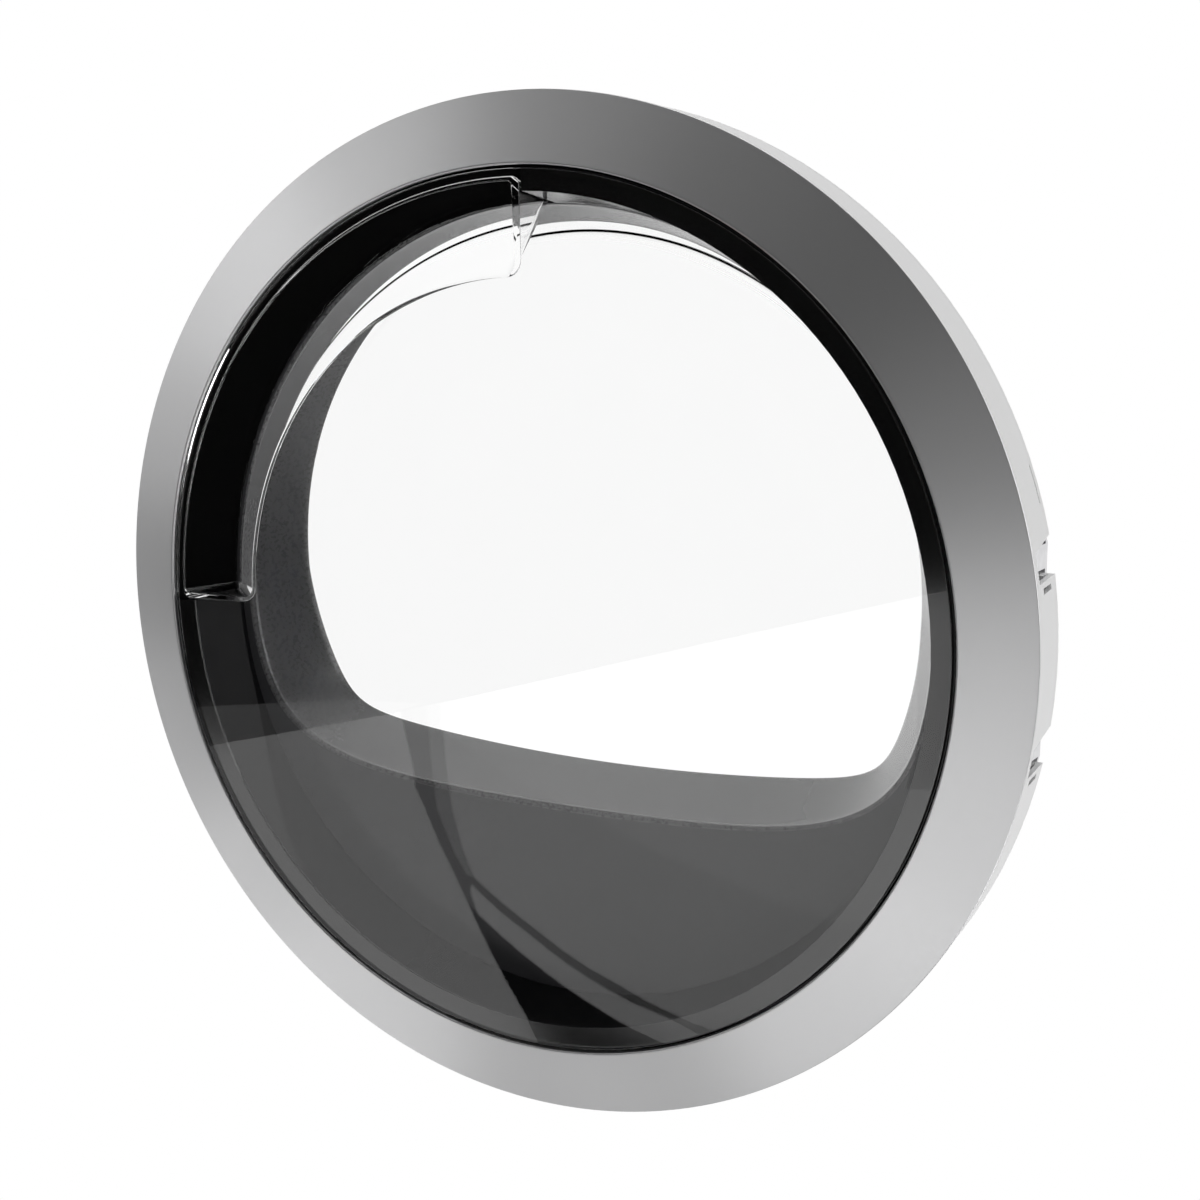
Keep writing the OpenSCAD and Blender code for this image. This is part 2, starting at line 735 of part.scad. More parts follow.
// Two flanged bushes in one arm, pushed in from above and below
module arm_bushes(z) color([0.92, 0.92, 0.88]) on_door() translate([pivot_x, pin_depth, z])
    for (side = [0, 1]) mirror([0, 0, side]) difference() {
        union() {
            translate([0, 0, seat]) cylinder(r = pin_r + run + bush_t, h = arm_h / 2 - seat, $fn = small_fn);
            translate([0, 0, arm_h / 2]) cylinder(r = bush_flange_r, h = bush_flange_t, $fn = small_fn);
        }
        cylinder(r = pin_r + run, h = arm_h, $fn = small_fn);
    }

module upper_bushes() arm_bushes(arm_z);
module lower_bushes() arm_bushes(-arm_z);

trim_ring();
outer_shell();
pane_carrier();
pane_tape();
front_pane();
inner_frame();
glass_seal();
glass_bowl();
glass_clamp();
rear_frame();
door_seal();
buffers();
frame_screws();
carrier_screws();
latch_hook();
latch_plate();
latch_screws();
hinge_bracket();
hinge_screws();
hinge_pin();
hinge_clip();
hinge_plate();
upper_bushes();
lower_bushes();
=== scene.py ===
import json
import math

import bmesh
import bpy
from mathutils import Matrix, Vector

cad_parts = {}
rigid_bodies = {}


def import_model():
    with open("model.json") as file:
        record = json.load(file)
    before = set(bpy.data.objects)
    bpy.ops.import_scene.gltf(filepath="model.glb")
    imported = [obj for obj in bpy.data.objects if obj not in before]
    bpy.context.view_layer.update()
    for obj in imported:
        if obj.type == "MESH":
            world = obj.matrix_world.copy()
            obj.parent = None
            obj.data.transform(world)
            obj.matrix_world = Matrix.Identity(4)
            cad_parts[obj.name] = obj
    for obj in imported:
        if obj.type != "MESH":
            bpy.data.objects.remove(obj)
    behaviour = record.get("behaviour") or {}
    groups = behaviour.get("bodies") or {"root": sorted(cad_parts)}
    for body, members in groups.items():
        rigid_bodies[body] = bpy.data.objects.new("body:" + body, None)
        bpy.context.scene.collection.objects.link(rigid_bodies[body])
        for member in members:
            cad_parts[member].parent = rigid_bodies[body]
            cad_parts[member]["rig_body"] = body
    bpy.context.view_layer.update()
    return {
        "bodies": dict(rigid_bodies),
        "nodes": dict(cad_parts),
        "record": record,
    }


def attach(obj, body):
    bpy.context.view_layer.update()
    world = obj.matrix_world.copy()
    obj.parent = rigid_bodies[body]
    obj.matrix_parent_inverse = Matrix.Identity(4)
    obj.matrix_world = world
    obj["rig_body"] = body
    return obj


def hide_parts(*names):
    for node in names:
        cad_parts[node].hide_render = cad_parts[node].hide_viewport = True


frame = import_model()
scene = bpy.context.scene
nodes = frame["nodes"]

# The door's own axis runs through this point of its front plane. Profiles below are lists of
# (radius, depth) in millimetres about that axis, depth counted back from the front plane.
DOOR = Vector((-0.2145, -0.0545, 0.0))
MM = 0.001


def at(x, depth, z):
    return DOOR + Vector((x, depth, z)) * MM


# ---------------------------------------------------------------- camera
azimuth, elevation, distance = math.radians(28.727), math.radians(11.218), 1.092363
target = at(37.001, 0, 13.413)
back = Vector((math.sin(azimuth) * math.cos(elevation), -math.cos(azimuth) * math.cos(elevation), math.sin(elevation)))
camera_data = bpy.data.cameras.new("camera")
camera_data.sensor_width = 36
camera_data.lens = 72.4965
camera = bpy.data.objects.new("camera", camera_data)
camera.location = target + back * distance
camera.rotation_euler = back.to_track_quat("Z", "Y").to_euler()
scene.collection.objects.link(camera)
scene.camera = camera


# ---------------------------------------------------------------- materials
class Nodes:
    """A material's node tree, with short calls for the nodes used here."""

    def __init__(self, name):
        self.material = bpy.data.materials.new(name)
        self.material.use_nodes = True
        self.tree = self.material.node_tree
        self.tree.nodes.clear()
        self.out = self.tree.nodes.new("ShaderNodeOutputMaterial")
        self.coords = self.tree.nodes.new("ShaderNodeTexCoord")

    def add(self, kind, **inputs):
        node = self.tree.nodes.new(kind)
        for key, value in inputs.items():
            self.set(node, key.replace("_", " "), value)
        return node

    def set(self, node, key, value):
        socket = node.inputs[key]
        if isinstance(value, bpy.types.NodeSocket):
            self.tree.links.new(value, socket)
        else:
            socket.default_value = value

    def noise(self, scale, detail=3.0, roughness=0.5, stretch=None):
        source = self.coords.outputs["Object"]
        if stretch:
            mapping = self.add("ShaderNodeMapping", Vector=source)
            mapping.inputs["Scale"].default_value = stretch
            source = mapping.outputs["Vector"]
        return self.add("ShaderNodeTexNoise", Vector=source, Scale=scale, Detail=detail, Roughness=roughness).outputs["Fac"]

    def spread(self, value, low, high, start=0.3, end=0.7):
        node = self.add("ShaderNodeMapRange")
        self.set(node, "Value", value)
        for key, number in (("From Min", start), ("From Max", end), ("To Min", low), ("To Max", high)):
            node.inputs[key].default_value = number
        return node.outputs["Result"]

    def ramp(self, value, low, high):
        node = self.tree.nodes.new("ShaderNodeMix")
        node.data_type = "RGBA"
        self.tree.links.new(value, node.inputs["Factor"])
        node.inputs["A"].default_value = (*low, 1)
        node.inputs["B"].default_value = (*high, 1)
        return node.outputs["Result"]

    def bump(self, value, strength, depth):
        return self.add("ShaderNodeBump", Height=value, Strength=strength, Distance=depth).outputs["Normal"]

    def finish(self, shader):
        self.tree.links.new(shader, self.out.inputs["Surface"])
        return self.material


def solid(name, color, roughness, metallic=0.0, spread=0.04, grain=900.0, bump=0.05, mottle=12.0, coat=0.0, grazing=None, **more):
    """Moulded, painted or metal surface: a faint mottle in colour and roughness, and a fine grain.
    grazing is the roughness that a satin surface seems to have when it is seen at a flat angle."""
    n = Nodes(name)
    cloud = n.spread(n.noise(mottle, 4.0), 0.0, 1.0)
    fine = n.noise(grain, 2.0)
    low = tuple(c * (1 - spread) for c in color)
    high = tuple(min(1.0, c * (1 + spread)) for c in color)
    shader = n.add("ShaderNodeBsdfPrincipled", Metallic=metallic)
    n.set(shader, "Base Color", n.ramp(cloud, low, high))
    rough = n.spread(fine, roughness * 0.92, roughness * 1.08)
    if grazing is not None:
        facing = n.add("ShaderNodeLayerWeight", Blend=0.5).outputs["Facing"]
        rough = n.add("ShaderNodeMapRange", Value=facing, To_Min=rough).outputs["Result"]
        for key, number in (("From Min", 0.3), ("From Max", 0.68), ("To Max", grazing)):
            rough.node.inputs[key].default_value = number
    n.set(shader, "Roughness", rough)
    n.set(shader, "Normal", n.bump(fine, bump, 0.0001))
    shader.inputs["Coat Weight"].default_value = coat
    for key, value in more.items():
        shader.inputs[key.replace("_", " ")].default_value = value
    return n.finish(shader.outputs["BSDF"])


def clear(name, tint, ior, **more):
    """Clear plastic or glass. It refracts for the eye, and lets the lamps' light straight through to what lies behind."""
    n = Nodes(name)
    fine = n.noise(30.0, 2.0)
    glass = n.add("ShaderNodeBsdfPrincipled", Roughness=0.0, IOR=ior)
    n.set(glass, "Base Color", n.ramp(n.spread(fine, 0.0, 1.0), tuple(c * 0.997 for c in tint), tint))
    glass.inputs["Transmission Weight"].default_value = 1.0
    for key, value in more.items():
        glass.inputs[key.replace("_", " ")].default_value = value
    through = n.add("ShaderNodeBsdfTransparent", Color=(*tint, 1))
    path = n.tree.nodes.new("ShaderNodeLightPath")
    either = n.add("ShaderNodeMath")
    either.operation = "MAXIMUM"
    n.tree.links.new(path.outputs["Is Shadow Ray"], either.inputs[0])
    n.tree.links.new(path.outputs["Is Diffuse Ray"], either.inputs[1])
    mix = n.tree.nodes.new("ShaderNodeMixShader")
    n.tree.links.new(either.outputs["Value"], mix.inputs["Fac"])
    n.tree.links.new(glass.outputs["BSDF"], mix.inputs[1])
    n.tree.links.new(through.outputs["BSDF"], mix.inputs[2])
    return n.finish(mix.outputs["Shader"])


silver = solid("satin_silver", (0.62, 0.62, 0.625), 0.34, metallic=1.0, spread=0.015, grain=1500.0, bump=0.06, mottle=5.0)
white = solid("white_plastic", (0.86, 0.86, 0.86), 0.35, spread=0.01, grain=700.0, bump=0.04)
gloss = solid("gloss_black", (0.006, 0.006, 0.0065), 0.06, spread=0.1, grain=300.0, bump=0.005)
skirt_black = solid("skirt_black", (0.006, 0.006, 0.0065), 0.08, spread=0.1, grain=600.0, bump=0.004, Specular_IOR_Level=0.12)
pocket_black = solid("pocket_black", (0.004, 0.004, 0.004), 0.6, spread=0.1, grain=900.0, bump=0.02, Specular_IOR_Level=0.0)
dark = solid("dark_satin", (0.03, 0.03, 0.032), 0.2, spread=0.06, grain=600.0, bump=0.004, Specular_IOR_Level=0.15)
funnel = solid("funnel_satin", (0.048, 0.048, 0.05), 0.28, spread=0.06, grain=600.0, bump=0.002, grazing=0.02, Specular_IOR_Level=0.9)
tape = solid("tape_black", (0.006, 0.006, 0.006), 0.07, spread=0.2, grain=900.0, bump=0.004, Specular_IOR_Level=0.8)
rubber = solid("rubber_black", (0.02, 0.02, 0.02), 0.6, spread=0.15, grain=1500.0, bump=0.2)
rubber_grey = solid("rubber_grey", (0.28, 0.28, 0.29), 0.6, spread=0.06, grain=1500.0, bump=0.2)
steel = solid("zinc_steel", (0.66, 0.66, 0.67), 0.3, metallic=1.0, spread=0.08, grain=500.0, bump=0.1, mottle=160.0)
spring = solid("spring_steel", (0.16, 0.16, 0.17), 0.35, metallic=1.0, spread=0.15, grain=500.0, bump=0.1)
hook = solid("hook_plastic", (0.78, 0.78, 0.79), 0.4, spread=0.02, grain=700.0, bump=0.05)
bush = solid("bush_plastic", (0.85, 0.84, 0.79), 0.45, spread=0.03, grain=700.0, bump=0.05)
pane_clear = clear("clear_pane", (1.0, 1.0, 1.0), 1.49, Specular_Tint=(0.7, 0.7, 0.7, 1))
pocket_clear = clear("clear_pocket", (1.0, 1.0, 1.0), 1.49)
wall_clear = clear("clear_wall", (1.0, 1.0, 1.0), 1.0)
slope_clear = clear("clear_slope", (0.97, 0.97, 0.97), 1.15)
bowl_clear = clear("clear_glass", (0.998, 1.0, 0.999), 1.05)

by_slot = {
    "silver_trim": silver, "white_shell": white, "black_gloss": gloss, "tape": tape, "clear_pane": pane_clear,
    "dark_frame": dark, "clear_glass": bowl_clear, "black_rubber": rubber, "grey_rubber": rubber_grey,
    "zinc_steel": steel, "spring_steel": spring, "hook_plastic": hook, "bush_plastic": bush,
}
slot_of = {part["node"]: part["material_slot"] for part in frame["record"]["subparts"]}
for name, node in nodes.items():
    node.data.materials.clear()
    node.data.materials.append(by_slot[slot_of[name]])


# ---------------------------------------------------------------- geometry helpers
def build(bm, name, body, slot, smooth_angle=35, replaces=(), flat=(), also=()):
    """Makes a piece of the bmesh: normals outwards, smooth but for its real edges and its flat faces."""
    bmesh.ops.recalc_face_normals(bm, faces=bm.faces)
    bm.faces.index_update()
    flat = [f.index for f in flat]
    mesh = bpy.data.meshes.new(name)
    bm.to_mesh(mesh)
    bm.free()
    mesh.shade_smooth()
    mesh.set_sharp_from_angle(angle=math.radians(smooth_angle))
    for index in flat:
        mesh.polygons[index].use_smooth = False
    piece = bpy.data.objects.new(name, mesh)
    scene.collection.objects.link(piece)
    for material in (by_slot[slot], *also):
        mesh.materials.append(material)
    weighted = piece.modifiers.new("normals", "WEIGHTED_NORMAL")
    weighted.keep_sharp = True
    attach(piece, body)
    if replaces:
        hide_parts(*replaces)
    return piece


def rounded(points, radii, steps=4, closed=True):
    """A profile with its corners rounded. Each radius is limited by the two sides that meet there."""
    made, count = [], len(points)
    for i, (point, radius) in enumerate(zip(points, radii)):
        if radius <= 0 or (not closed and i in (0, count - 1)):
            made.append(tuple(point))
            continue
        p = Vector(point)
        a, b = Vector(points[i - 1]) - p, Vector(points[(i + 1) % count]) - p
        half = a.angle(b) / 2
        cut = min(radius / math.tan(half), a.length * 0.48, b.length * 0.48)
        radius = cut * math.tan(half)
        bisector = (a.normalized() + b.normalized()).normalized()
        centre = p + bisector * radius / math.sin(half)
        start, end = p + a.normalized() * cut - centre, p + b.normalized() * cut - centre
        turn = math.atan2(start.x * end.y - start.y * end.x, start.dot(end))
        for k in range(steps + 1):
            c, s = math.cos(turn * k / steps), math.sin(turn * k / steps)
            made.append((centre.x + start.x * c - start.y * s, centre.y + start.x * s + start.y * c))
    return made


def outline(bm, points, closed=True):
    """A few vertices joined by edges, in order. Points are (x, depth, z)."""
    verts = [bm.verts.new(at(*p)) for p in points]
    ends = verts[1:] + (verts[:1] if closed else [])
    return verts, [bm.edges.new(pair) for pair in zip(verts, ends)]


def turned(bm, profile, steps=288, closed=True):
    """Spins a profile of (radius, depth) right round the door's axis."""
    verts, edges = outline(bm, [(radius, depth, 0) for radius, depth in profile], closed)
    bmesh.ops.spin(bm, geom=verts + edges, cent=at(0, 0, 0), axis=(0, 1, 0), angle=2 * math.pi, steps=steps,
                   use_merge=True, use_duplicate=False)
    bmesh.ops.remove_doubles(bm, verts=bm.verts, dist=1e-7)


def circle_at(bm, radius, depth):
    """The edges of a turned shape that lie on one circle about the door's axis."""
    level = at(0, depth, 0).y

    def on(v):
        return abs(v.co.y - level) < 2e-5 and abs(math.hypot(v.co.x - DOOR.x, v.co.z) - radius * MM) < 2e-5
    return [e for e in bm.edges if on(e.verts[0]) and on(e.verts[1])]


def bridge(bm, one, two):
    following = [(i, (i + 1) % len(one)) for i in range(len(one))]
    return [bm.faces.new((one[i], one[j], two[j], two[i])) for i, j in following]


def swept(bm, profile, start, end, steps):
    """Spins a closed profile between two angles about the door's axis, and closes both ends."""
    first, last = math.radians(start), math.radians(end)
    c, s = math.cos(first), math.sin(first)
    verts, edges = outline(bm, [(radius * c, depth, radius * s) for radius, depth in profile])
    made = bmesh.ops.spin(bm, geom=verts + edges, cent=at(0, 0, 0), axis=(0, -1, 0), angle=last - first, steps=steps,
                          use_merge=False, use_duplicate=False)
    far = [g for g in made["geom_last"] if isinstance(g, bmesh.types.BMEdge)]
    for rim in (edges, far):
        bmesh.ops.edgeloop_fill(bm, edges=rim)


def refined(node, bevel=0.3, angle=35, segments=2):
    """A CAD node's own shape with its edges softened: the mesh is joined up, its flat parts cleaned, its edges rounded."""
    bm = bmesh.new()
    bm.from_mesh(nodes[node].data)
    bmesh.ops.remove_doubles(bm, verts=bm.verts, dist=1e-6)
    bmesh.ops.dissolve_limit(bm, angle_limit=math.radians(0.5), verts=bm.verts, edges=bm.edges)
    piece = build(bm, node + "_piece", frame["bodies"] and nodes[node]["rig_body"], slot_of[node], angle, [node])
    if bevel:
        soft = piece.modifiers.new("edges", "BEVEL")
        soft.width, soft.segments, soft.limit_method = bevel * MM, segments, "ANGLE"
        soft.angle_limit = math.radians(angle)
        soft.use_clamp_overlap, soft.harden_normals = True, False
        piece.modifiers.move(1, 0)
    return piece


# ---------------------------------------------------------------- silver ring
RING_R, RING_IN, RISE, RING_T, LIP, LIP_T = 240.0, 207.0, 12.0, 1.5, 5.5, 1.5


def ring_face(r):
    return RISE * (r - RING_IN) / (RING_R - RING_IN)


bm = bmesh.new()
turned(bm, rounded([(RING_IN, 0.0), (RING_R, ring_face(RING_R)), (RING_R, ring_face(RING_R) + RING_T),
                    (RING_IN + LIP_T, ring_face(RING_IN + LIP_T) + RING_T), (RING_IN + LIP_T, LIP), (RING_IN, LIP)],
                   [0.9, 0.5, 0.4, 0.2, 0.2, 0.3], steps=5), steps=384)
build(bm, "ring_trim", "door", "silver_trim", 50, ["trim_ring"])

# ---------------------------------------------------------------- gloss black carrier behind the pane
ZONE_FROM, ZONE_TO = 91.304, 182.696
CARRIER_RIM = [(205.8, 4.0), (205.8, 5.9), (209.6, 5.9), (209.6, 8.218), (216.5, 8.218), (216.5, 10.718)]


def pocket_side_r(depth):
    return 203.731 - (depth - 0.2) * 9.5 / 29.5


around = rounded([(195.3, 4.0)] + CARRIER_RIM + [(206.3, 10.718), (203.5, 6.5), (197.3, 6.5), (191.0, 35.0), (189.0, 35.0)],
                 [0.8, 0.3, 0.2, 0.2, 0.2, 0.2, 0.2, 0, 0, 0, 0.3, 0.6], steps=4)
beside = rounded([(pocket_side_r(4.0), 4.0)] + CARRIER_RIM + [(205.5, 10.718), (194.52, 35.0), (189.0, 35.0), (189.4, 33.0),
                  (pocket_side_r(33.0) + 0.5, 33.0)], [0.6, 0.3, 0.2, 0.2, 0.2, 0.2, 0.2, 0, 0.3, 0.3, 0.4, 1.5], steps=4)
bm = bmesh.new()
swept(bm, around, ZONE_TO, ZONE_FROM + 360, 240)
for face in bm.faces:
    face.material_index = int(face.calc_center_median().y > at(0, 4.6, 0).y)
open_side = set(bm.faces)
swept(bm, beside, ZONE_FROM, ZONE_TO, 96)
for face in bm.faces:
    if face not in open_side:
        face.material_index = 2
build(bm, "carrier_skirt", "door", "black_gloss", 45, ["pane_carrier"], also=[skirt_black, pocket_black])

# ---------------------------------------------------------------- clear pane with its grip pocket
PANE_R, PANE_FRONT, PANE_BACK = 205.5, 0.2, 3.2
POCKET_IN, POCKET_OUT, POCKET_LEAN, POCKET_DEEP, POCKET_WALL = 157.8, 200.0, 9.5, 29.5, 2.6
POCKET_FROM, POCKET_TO = 92.5, 181.5
MEAN_R = (POCKET_IN + POCKET_OUT) / 2
SLANT_WALL, LEAN_WALL = 3.88, 2.73


def pocket_loop(depth, wall, fillet, outer_corner, inner_corner, long_steps=84, short_steps=6, corner_steps=6):
    """Outline of the grip pocket at a depth. wall is 0 for its inside and 1 for its outside; fillet opens its mouth."""
    share = depth / POCKET_DEEP
    low = POCKET_IN + (POCKET_OUT - POCKET_LEAN - POCKET_IN) * share - SLANT_WALL * wall - fillet
    high = POCKET_OUT - POCKET_LEAN * share + LEAN_WALL * wall + fillet
    end_move = POCKET_WALL * wall + fillet - 1.0 * share
    start = math.radians(POCKET_FROM) * MEAN_R - end_move
    end = math.radians(POCKET_TO) * MEAN_R + end_move
    most = (high - low) * 0.49
    big, small = min(inner_corner, most), min(outer_corner, most)
    points = []
    corners = [(end - small, high - small, 0, small), (start + small, high - small, 90, small),
               (start + big, low + big, 180, big), (end - big, low + big, 270, big)]
    for n, (s, r, angle, radius) in enumerate(corners):
        for k in range(corner_steps + 1):
            a = math.radians(angle + 90 * k / corner_steps)
            points.append((s + radius * math.cos(a), r + radius * math.sin(a)))
        s2, r2, angle2, radius2 = corners[(n + 1) % 4]
        a = math.radians(angle2)
        first, last = points[-1], (s2 + radius2 * math.cos(a), r2 + radius2 * math.sin(a))
        steps = long_steps if n in (0, 2) else short_steps
        for k in range(1, steps):
            points.append((first[0] + (last[0] - first[0]) * k / steps, first[1] + (last[1] - first[1]) * k / steps))
    return [(r * math.cos(s / MEAN_R), r * math.sin(s / MEAN_R)) for s, r in points]


def pocket_side(bm, first_depth, wall, fillet, outer_corner, inner_corner, bottom):
    """One face of the pocket's wall, from its mouth's rounded edge down to the bottom of its groove."""
    levels = []
    for k in range(5):
        a = math.radians(90 * k / 4)
        levels.append((first_depth + fillet * (1 - math.cos(a)), fillet * (1 - math.sin(a))))
    for k in range(1, 9):
        levels.append((first_depth + fillet + (bottom - first_depth - fillet) * k / 8, 0.0))
    loops = []
    for depth, open_by in levels:
        fade = 1 - 0.85 * (depth - first_depth) / (bottom - first_depth)
        loops.append([bm.verts.new(at(x, depth, z))
                      for x, z in pocket_loop(depth - PANE_FRONT, wall, open_by, outer_corner * fade, inner_corner * fade)])
    below_fillet = []
    for number, (one, two) in enumerate(zip(loops, loops[1:])):
        made = bridge(bm, one, two)
        if number >= 4:
            below_fillet.append(made)
    return loops, below_fillet


bm = bmesh.new()
front_loops, front_rows = pocket_side(bm, PANE_FRONT, 0, 0.5, 1.6, 5.5, PANE_FRONT + 29.1)
back_loops, back_rows = pocket_side(bm, PANE_BACK, 1, 0.5, 3.5, 8.0, PANE_FRONT + 31.9)
for loops in (front_loops, back_loops):
    bm.faces.new(loops[-1])
rim_profile = [(PANE_R - 0.5, PANE_FRONT), (PANE_R - 0.15, PANE_FRONT + 0.15), (PANE_R, PANE_FRONT + 0.5),
               (PANE_R, PANE_BACK - 0.5), (PANE_R - 0.15, PANE_BACK - 0.15), (PANE_R - 0.5, PANE_BACK)]
turned(bm, rim_profile, closed=False)


def loop_edges(loop):
    return [bm.edges.get((loop[i], loop[(i + 1) % len(loop)])) for i in range(len(loop))]


flat_faces = []
for (radius, depth), loop in ((rim_profile[0], front_loops[0]), (rim_profile[-1], back_loops[0])):
    made = bmesh.ops.triangle_fill(bm, use_beauty=True, edges=circle_at(bm, radius, depth) + loop_edges(loop))
    flat_faces += [g for g in made["geom"] if isinstance(g, bmesh.types.BMFace)]
pane_faces = set(flat_faces)
for face in bm.faces:
    middle = face.calc_center_median() - DOOR
    face.material_index = int(face not in pane_faces and math.hypot(middle.x, middle.z) < 203.6 * MM)
for row in front_rows:
    for face in row[108:192]:
        face.material_index = 3
for row in front_rows:
    for face in row[6:90]:
        face.material_index = 2
for row in back_rows:
    for face in row[6:90] + row[102:198]:
        face.material_index = 2
build(bm, "pane_moulding", "door", "clear_pane", 30, ["front_pane"], flat_faces, also=[pocket_clear, wall_clear, slope_clear])

# ---------------------------------------------------------------- inner frame
SKIRT_R, SKIRT_DEPTH, FRAME_T, NOSE_R, EDGE_R = 189.0, 35.0, 2.5, 3.0, 0.8
MOUTH_R, MOUTH_UP, MOUTH_ARC, MOUTH_DROP, MOUTH_SHARP = 182.5, 5.5, 4000.0, 97.0, 6.0
WINDOW_R, WINDOW_UP, WINDOW_ARC, WINDOW_DROP, WINDOW_SHARP = 168.0, 12.0, 975.0, 84.0, 19.0
WINDOW_DEPTH, WINDOW_TILT, WINDOW_LEAN, FRAME_BACK, CUP_T, LIP_OUT = 64.0, math.tan(math.radians(7.3)), 0.018, 60.0, 2.0, 1.0


def reach(a, radius, up):
    return up * math.sin(a) + math.sqrt(radius ** 2 - (up * math.cos(a)) ** 2)


def shared(a, radius, up, arc, drop, sharp):
    round_part, sill = reach(a, radius, up), reach(a, arc, arc - drop)
    return round_part / (1 + (round_part / sill) ** sharp) ** (1 / sharp)


def frame_section(a):
    m = shared(a, MOUTH_R, 0.0, MOUTH_ARC, MOUTH_DROP, MOUTH_SHARP) + MOUTH_UP * max(0.0, math.sin(a)) ** 2
    w = shared(a, WINDOW_R, WINDOW_UP, WINDOW_ARC, WINDOW_DROP, WINDOW_SHARP)
    front, start = SKIRT_DEPTH, SKIRT_DEPTH + NOSE_R
    edge = WINDOW_DEPTH - w * math.sin(a) * (WINDOW_TILT if math.sin(a) < 0 else WINDOW_LEAN)
    end = max(edge, FRAME_BACK + LIP_OUT)
    slope = (w - m) / (edge - start)
    root = w + max(0.0, edge - FRAME_BACK + CUP_T) * -slope + FRAME_T
    back_root = w + max(0.0, edge - FRAME_BACK) * -slope + FRAME_T
    inner_edge = min(edge, end - EDGE_R * 2)
    points = [(204.0, front), (204.0, front + FRAME_T), (m + NOSE_R + FRAME_T, front + FRAME_T),
              (root, FRAME_BACK - CUP_T), (194.5, FRAME_BACK - CUP_T), (194.5, FRAME_BACK),
              (back_root, FRAME_BACK), (w + FRAME_T, end)]
    for k in range(5):
        t = math.radians(90 * k / 4)
        points.append((w + EDGE_R - EDGE_R * math.sin(t), end - EDGE_R + EDGE_R * math.cos(t)))
    for k in range(13):
        t = k / 12
        points.append((w + (m - w) * t, inner_edge + (start - inner_edge) * t))
    for k in range(1, 9):
        t = math.radians(180 + 90 * k / 8)
        points.append((m + NOSE_R + NOSE_R * math.cos(t), start + NOSE_R * math.sin(t)))
    return points


bm = bmesh.new()
steps = 384
sections = []
for i in range(steps):
    a = 2 * math.pi * i / steps
    sections.append([bm.verts.new(at(r * math.cos(a), d, r * math.sin(a))) for r, d in frame_section(a)])
for i in range(steps):
    bridge(bm, sections[i], sections[(i + 1) % steps])
around_section = len(sections[0])
for number, face in enumerate(bm.faces):
    face.material_index = int(8 <= number % around_section < around_section - 1)
build(bm, "inner_frame_skin", "door", "dark_frame", 40, ["inner_frame"], also=[funnel])

# ---------------------------------------------------------------- glass bowl
GLASS_FRONT, GLASS_T, GLASS_R, GLASS_IN, BOWL_END, BOWL_DEPTH = 61.5, 4.0, 192.0, 176.0, 72.0, 47.0


def bowl_curve(inset, start, end, steps=28):
    made = []
    for k in range(steps + 1):
        t = math.radians(start + (end - start) * k / steps)
        made.append((BOWL_END + (GLASS_IN - inset - BOWL_END) * math.cos(t),
                     GLASS_FRONT + GLASS_T + (BOWL_DEPTH - GLASS_T - inset) * math.sin(t)))
    return made


bm = bmesh.new()
profile = [(GLASS_IN - GLASS_T - 0.4, GLASS_FRONT), (GLASS_R - 0.6, GLASS_FRONT), (GLASS_R, GLASS_FRONT + 0.6),
           (GLASS_R, GLASS_FRONT + GLASS_T - 0.6), (GLASS_R - 0.6, GLASS_FRONT + GLASS_T)]
profile += bowl_curve(0, 0, 90) + [(0, GLASS_FRONT + BOWL_DEPTH), (0, GLASS_FRONT + BOWL_DEPTH - GLASS_T)]
profile += bowl_curve(GLASS_T, 90, 0)
turned(bm, profile)
build(bm, "bowl_glass", "door", "clear_glass", 40, ["glass_bowl"])

# ---------------------------------------------------------------- stage: white backdrop, dark room in front, lamps
world = bpy.data.worlds.new("studio")
scene.world = world
world.use_nodes = True
tree = world.node_tree
tree.nodes.clear()
out = tree.nodes.new("ShaderNodeOutputWorld")
seen = tree.nodes.new("ShaderNodeBackground")
seen.inputs["Color"].default_value = (1, 1, 1, 1)
seen.inputs["Strength"].default_value = 1.0
light = tree.nodes.new("ShaderNodeBackground")
light.inputs["Color"].default_value = (1, 1, 1, 1)
light.inputs["Strength"].default_value = 0.3
path = tree.nodes.new("ShaderNodeLightPath")
mix = tree.nodes.new("ShaderNodeMixShader")
tree.links.new(path.outputs["Is Diffuse Ray"], mix.inputs["Fac"])
tree.links.new(seen.outputs["Background"], mix.inputs[1])
tree.links.new(light.outputs["Background"], mix.inputs[2])
tree.links.new(mix.outputs["Shader"], out.inputs["Surface"])


def card(name, corners, strength):
    """A flat board that only reflections see. Its tone is its own light."""
    n = Nodes("card_" + name)
    cloud = n.spread(n.noise(3.0, 2.0), strength * 0.97, strength)
    glow = n.add("ShaderNodeEmission", Strength=cloud)
    mesh = bpy.data.meshes.new("card_" + name)
    mesh.from_pydata([tuple(c) for c in corners], [], [tuple(range(len(corners)))])
    mesh.materials.append(n.finish(glow.outputs["Emission"]))
    board = bpy.data.objects.new("card_" + name, mesh)
    scene.collection.objects.link(board)
    board.visible_camera = False
    board.visible_diffuse = False
    board.visible_shadow = False
    board.visible_volume_scatter = False
    return board


